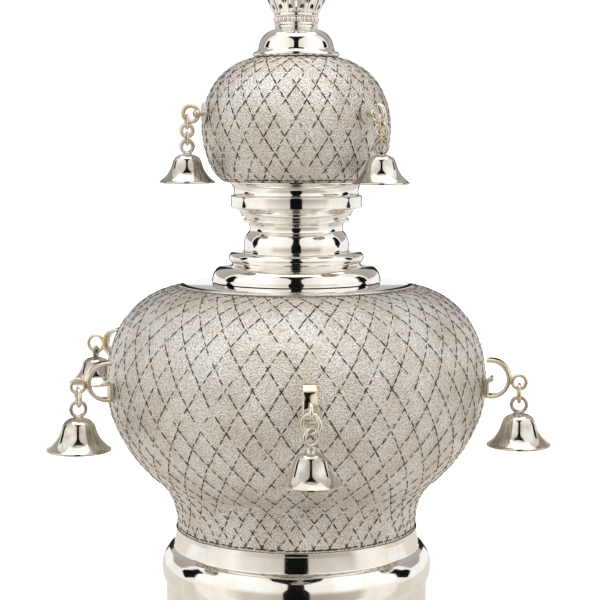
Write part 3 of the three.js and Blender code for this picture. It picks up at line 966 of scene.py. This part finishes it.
sawn = bpy.data.meshes.new_from_object(wall_piece.evaluated_get(bpy.context.evaluated_depsgraph_get()))
wall_piece.modifiers.clear()
wall_piece.data = sawn
bpy.data.objects.remove(cutter)
settle(wall_piece, "polished_silver", "coronet")

ring_profile = softened([
    [9.2, 303.6], [10.4, 303.6], [10.8, 304.2], [10.5, 304.9], [9.8, 305.0], [9.8, 307.6], [10.4, 307.8],
    [10.8, 308.4], [10.7, 309.2], [10.4, 309.5], [9.2, 309.5],
], radius=0.2, closed=True)
coronet_ring = piece_from("coronet_rings", [(*turned(ring_profile, CAP_SIDES), on_axis)], [silver])
settle(coronet_ring, "polished_silver", "coronet")


# %% Beads
def bead_tree():
    tree, given = new_tree("beads", [
        ("Count", "Int", 24), ("Circle Radius", "Float"), ("Bead", "Vector"), ("Place", "Vector")])
    circle = add(tree, "GeometryNodeMeshCircle", links={
        "Vertices": given.outputs["Count"], "Radius": given.outputs["Circle Radius"]})
    bead = add(tree, "GeometryNodeMeshUVSphere", values={"Segments": 14, "Rings": 9, "Radius": 0.5})
    smooth = add(tree, "GeometryNodeSetShadeSmooth", links={0: bead.outputs["Mesh"]})
    set_on = add(tree, "GeometryNodeInstanceOnPoints", links={
        "Points": circle.outputs["Mesh"], "Instance": smooth.outputs[0], "Scale": given.outputs["Bead"]})
    put = add(tree, "GeometryNodeTransform", links={
        "Geometry": set_on.outputs[0], "Translation": given.outputs["Place"]})
    return end_tree(tree, given, put)


bead_row = line_piece("coronet_beads", [])
grown(bead_row, bead_tree(), {
    "Count": 26, "Circle Radius": 10.1 * MM, "Bead": [2.2 * MM, 2.2 * MM, 2.75 * MM],
    "Place": [axis_x * MM, axis_y * MM, 306.3 * MM], "Finish": silver})
settle(bead_row, "polished_silver")

# %% [markdown]
# ## Rings and links
#
# Every ring and link is a length of drawn wire bent round and soldered shut. One small tree makes them all:
# a circle of the ring's size swept by a circle of the wire's. Each is its own piece, placed where its solid
# is. Heavy rings are of 1.9 mm wire, the joining links between them of 1.2 mm.

# %% A tree for wire rings
WIRE = 1.9
THIN_WIRE = 1.2


def ring_tree():
    tree, given = new_tree("wire_ring", [
        ("Ring Radius", "Float"), ("Wire Radius", "Float"), ("Turn", "Vector"), ("Place", "Vector")])
    path = add(tree, "GeometryNodeCurvePrimitiveCircle", values={"Resolution": 48},
               links={"Radius": given.outputs["Ring Radius"]})
    wire = add(tree, "GeometryNodeCurvePrimitiveCircle", values={"Resolution": 14},
               links={"Radius": given.outputs["Wire Radius"]})
    swept = add(tree, "GeometryNodeCurveToMesh", links={
        "Curve": path.outputs[0], "Profile Curve": wire.outputs[0]})
    smooth = add(tree, "GeometryNodeSetShadeSmooth", links={0: swept.outputs[0]})
    put = add(tree, "GeometryNodeTransform", links={
        "Geometry": smooth.outputs[0], "Rotation": given.outputs["Turn"],
        "Translation": given.outputs["Place"]})
    return end_tree(tree, given, put)


rings = ring_tree()


def wire_ring(name, outer_radius, wire, place, facing, finish):
    """A ring standing upright at a place in millimetres. Facing is the direction of its plane, in degrees
    from +X, as a ring in the radial plane of azimuth a faces a - 90."""
    piece = line_piece(name, [])
    return grown(piece, rings, {
        "Ring Radius": (outer_radius - wire / 2) * MM, "Wire Radius": wire / 2 * MM,
        "Turn": [radians(90), 0.0, radians(facing)], "Place": [c * MM for c in place], "Finish": finish})


def azimuth_of(place):
    return degrees(atan2(place[0] - axis_x, axis_y - place[1]))


def distance_of(place):
    return hypot(place[0] - axis_x, place[1] - axis_y)


print("ring tree with", len(rings.nodes), "nodes")

# %% [markdown]
# ## Bells
#
# The bells were turned thin, with a rounded shoulder, a waist that falls straight and a lip that flares. A
# short collar on top carries an eyelet. They are hollow. No clapper can be seen, so none is made.

# %% Bell
BELL_RADIUS = 15.7
BELL_HEIGHT = 16.3
BELL_SIDES = 72
COLLAR_SINK = 0.5  # how far a collar reaches up into its eyelet


def bell_profile(radius, height, mouth, collar_top):
    """A bell's closed profile, scaled from the large bell, with its collar."""
    across, up = radius / BELL_RADIUS, height / BELL_HEIGHT
    outside = chain(
        [[15.0, 0.0], [15.7, 0.3], [15.7, 1.2], [15.05, 1.5]],
        bend([15.05, 1.5], [12.5, 3.3], [9.7, 6.4], [8.6, 10.4], 16),
        bend([8.6, 10.4], [7.9, 12.6], [7.4, 15.2], [3.0, 16.0], 12),
    )
    inside = chain(
        [[0, 14.4]],
        bend([0, 14.4], [5.6, 14.4], [7.3, 12.6], [7.9, 11.0], 8),
        bend([7.9, 11.0], [8.6, 8.0], [9.6, 4.6], [14.4, 0.9], 12),
        [[14.8, 0.15]],
    )
    scaled = [[[r * across, mouth + z * up] for r, z in half] for half in (outside, inside)]
    shoulder = mouth + 16.0 * up
    collar = [[2.6, shoulder + 0.2], [2.3, (shoulder + collar_top) / 2], [2.6, collar_top - 0.3],
              [2.2, collar_top], [0, collar_top]]
    return softened(scaled[0] + collar + scaled[1], radius=0.18, closed=True)


def hung_bell(node, radius, height, place, eyelet_radius, eyelet_facing):
    """A bell with its eyelet. The lowest and highest points come from the solid it stands for."""
    mouth, top = heights(node)
    profile = bell_profile(radius, height, mouth, top - 2 * eyelet_radius + COLLAR_SINK)
    upright = Matrix.Translation([place[0], place[1], 0])
    body = piece_from(node + "_silver", [(*turned(profile, BELL_SIDES), upright)], [handled_silver],
                      crease=50)
    settle(body, "polished_silver", node)
    eyelet = wire_ring(node + "_eyelet", eyelet_radius, WIRE, [place[0], place[1], top - eyelet_radius],
                       eyelet_facing, handled_silver)
    settle(eyelet, "polished_silver", node)


# %% [markdown]
# ## Scroll hooks
#
# Round the large bulb stand scrolls of flat strap. Each leaves the bulb, turns over outwards and round, and
# runs up the bulb's side to a tight roll at its middle. The strap is a rounded bar swept along that path.
# The hooks have kept a warm tarnish, because nobody can reach inside them with a cloth.

# %% Strap
STRAP_WIDTH = 6.5
STRAP_THICKNESS = 2.0
STRAP_INNER = -2.05  # where the strap runs up again inside the scroll
ROLL_RADIUS = 1.4


def strap_path(outer_radius):
    """The middle of the strap as points of [outwards, upwards] from the scroll's middle."""
    radius = outer_radius - STRAP_THICKNESS / 2
    inner = STRAP_INNER
    start = degrees(acos(inner / radius))
    turned_round = arc([0, 0], radius, start, -97, 56)
    rise = bend(turned_round[-1], [-2.4, -radius - 0.1], [inner, -radius * 0.86], [inner, -radius * 0.6], 8)
    up = bend(rise[-1], [inner, -3.2], [inner, -0.7], [-0.3, -0.6], 14)
    return chain(turned_round, rise, up)


def strap(path, width, thickness):
    """A bar with rounded edges swept along a path that lies in the radial plane."""
    half, side, round_off = thickness / 2, width / 2, 0.5
    section = []
    for sign_u, sign_v, first in ((1, 1, 0), (-1, 1, 90), (-1, -1, 180), (1, -1, 270)):
        for k in range(4):
            turn = radians(first + 30 * k)
            section.append([sign_u * (half - round_off) + round_off * cos(turn),
                            sign_v * (side - round_off) + round_off * sin(turn)])
    corners, faces = [], []
    count = len(section)
    for i, here in enumerate(path):
        before, after = path[max(i - 1, 0)], path[min(i + 1, len(path) - 1)]
        run = (Vector(after) - Vector(before)).normalized()
        for u, v in section:
            corners.append([here[0] + run.y * u, v, here[1] - run.x * u])
    for i in range(len(path) - 1):
        for k in range(count):
            m = (k + 1) % count
            a = i * count
            faces.append([a + k, a + m, a + count + m, a + count + k])
    faces.append(list(range(count))[::-1])
    faces.append([(len(path) - 1) * count + k for k in range(count)])
    return corners, faces


def scroll_hook(node, azimuth, distance, height, outer_radius, ring_radius, ring_place):
    """A scroll of strap with a roll at its middle, and the ring that is let into it."""
    place = at_azimuth(azimuth, distance, height)
    half = STRAP_WIDTH / 2
    roll = softened([[0, -half], [ROLL_RADIUS, -half], [ROLL_RADIUS, half], [0, half]], radius=0.4)
    lay_across = place @ Matrix.Translation([0, 0, -0.35]) @ Matrix.Rotation(radians(90), 4, "X")
    body = piece_from(node + "_scroll", [
        (*strap(strap_path(outer_radius), STRAP_WIDTH, STRAP_THICKNESS), place),
        (*turned(roll, 28), lay_across)], [toned_silver], crease=60)
    settle(body, "polished_silver", node)
    eye = wire_ring(node + "_ring", ring_radius, WIRE, ring_place, azimuth - 90, toned_silver)
    settle(eye, "polished_silver", node)


# %% Bells round the large bulb
LOWER_SCROLL_RADIUS = 9.9
HOOK_RING_RADIUS = 4.3
LINK_RADIUS = 5.2
EYELET_RADIUS = 4.6
JOINING_GAP = 0.3
RING_LET_IN = 0.4  # how far a hook's ring is let into its strap
SCROLL_RISE = 1.5  # how far a scroll's middle stands above its ring's
LOWER_BELLS = 5
FRONT_BELL = (14.1, 15.2)
LARGE_BELL = (BELL_RADIUS, BELL_HEIGHT)

for number in range(1, LOWER_BELLS + 1):
    link = middle(f"lower_link_{number}")
    azimuth, out = azimuth_of(link), distance_of(link)
    is_front = number == 1
    ring_height = link[2] + LINK_RADIUS + HOOK_RING_RADIUS - 2 * WIRE - JOINING_GAP
    scroll_distance = out - LOWER_SCROLL_RADIUS - HOOK_RING_RADIUS + RING_LET_IN
    scroll_hook(f"lower_hook_{number}", azimuth, scroll_distance, ring_height + SCROLL_RISE,
                LOWER_SCROLL_RADIUS, HOOK_RING_RADIUS, [link[0], link[1], ring_height])
    facing = azimuth - 90
    link_turn = 65 if is_front else 90 + 8 * ((number - 1) % 2)
    loose = wire_ring(f"lower_link_{number}_wire", LINK_RADIUS, WIRE, link, facing + link_turn, toned_silver)
    settle(loose, "polished_silver", f"lower_link_{number}")
    bell_turn = 125 if is_front else 0
    hung_bell(f"lower_bell_{number}", *(FRONT_BELL if is_front else LARGE_BELL), link, EYELET_RADIUS,
              facing + bell_turn)

# %% The odd bell at the back on the left
SIDE_AZIMUTH = -108.4
SIDE_SCROLL_RADIUS = 8.0
SIDE_RING_RADIUS = 5.2
SIDE_EYELET_RADIUS = 3.3
SIDE_BELL = (14.2, 14.0)
SIDE_SCROLL_DISTANCE = 98.4
SIDE_SCROLL_RISE = 0.7

side_chain = SIDE_SCROLL_DISTANCE + SIDE_SCROLL_RADIUS + SIDE_RING_RADIUS - RING_LET_IN
side_ring_height = heights("side_bell")[1] + SIDE_RING_RADIUS - 2 * WIRE - JOINING_GAP
side_place = at_azimuth(SIDE_AZIMUTH, side_chain).translation
scroll_hook("side_hook", SIDE_AZIMUTH, SIDE_SCROLL_DISTANCE, side_ring_height + SIDE_SCROLL_RISE,
            SIDE_SCROLL_RADIUS, SIDE_RING_RADIUS, [side_place[0], side_place[1], side_ring_height])
hung_bell("side_bell", *SIDE_BELL, side_place, SIDE_EYELET_RADIUS, SIDE_AZIMUTH)

# %% [markdown]
# ## Bells round the small bulb
#
# These hang from pegs. A peg goes through a washer into the bulb and ends in a ball, and a ring passes
# through the ball. Below it hang a thin link, a heavy ring, another thin link and the bell.

# %% Pegs, chains and bells
UPPER_BELLS = 3
PEG_HEIGHT = 260.1
PEG_RING_RADIUS = 4.8
PEG_RING_DISTANCE = 53.6
UPPER_RING_RADIUS = 3.8
UPPER_EYELET_RADIUS = 3.9
TOP_LINK_RADIUS = 3.8
LOW_LINK_RADIUS = 3.45
SMALL_BELL = (13.7, 14.4)
PEG_SIDES, WASHER_SIDES = 40, 48

peg_profile = softened(chain(
    [[0, 46.0], [1.2, 46.2], [1.2, 49.0]],
    arc([0, 50.6], 2.0, -52, 90, 14),
), radius=0.15)
washer_profile = softened([[0, 46.9], [5.2, 46.9], [5.3, 47.2], [5.2, 47.5], [0, 47.7]], radius=0.15)

for number in range(1, UPPER_BELLS + 1):
    place = middle(f"upper_ring_{number}")
    azimuth = azimuth_of(place)
    facing = azimuth - 90
    turn = 40 if number == 2 else 0
    hook = f"upper_hook_{number}"
    lay_out = at_azimuth(azimuth, 0, PEG_HEIGHT) @ Matrix.Rotation(radians(90), 4, "Y")
    peg = piece_from(hook + "_peg", [(*turned(peg_profile, PEG_SIDES), lay_out)], [toned_silver])
    settle(peg, "polished_silver", hook)
    washer = piece_from(hook + "_washer", [(*turned(washer_profile, WASHER_SIDES), lay_out)], [matted])
    settle(washer, "matted_silver", hook)
    ring_place = at_azimuth(azimuth, PEG_RING_DISTANCE, PEG_HEIGHT).translation
    peg_ring = wire_ring(hook + "_ring", PEG_RING_RADIUS, WIRE, ring_place, facing, toned_silver)
    settle(peg_ring, "polished_silver", hook)
    for word, radius, wire, swing in (
        ("upper_link_top", TOP_LINK_RADIUS, THIN_WIRE, 90 + turn / 2),
        ("upper_ring", UPPER_RING_RADIUS, WIRE, turn),
        ("upper_link_low", LOW_LINK_RADIUS, THIN_WIRE, 90 + turn),
    ):
        node = f"{word}_{number}"
        loose = wire_ring(node + "_wire", radius, wire, middle(node), facing + swing, toned_silver)
        settle(loose, "polished_silver", node)
    hung_bell(f"upper_bell_{number}", *SMALL_BELL, place, UPPER_EYELET_RADIUS, facing + turn)

# %% [markdown]
# ## The size
#
# The fine pieces stay inside the box of the solids, so both boxes are written down to be compared.

# %% Sizes and the end
visual_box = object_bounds()
for word, (low, high) in (("solids", cad_box), ("pieces", visual_box)):
    print(word, [round((b - a) / MM, 1) for a, b in zip(low, high)], "mm")
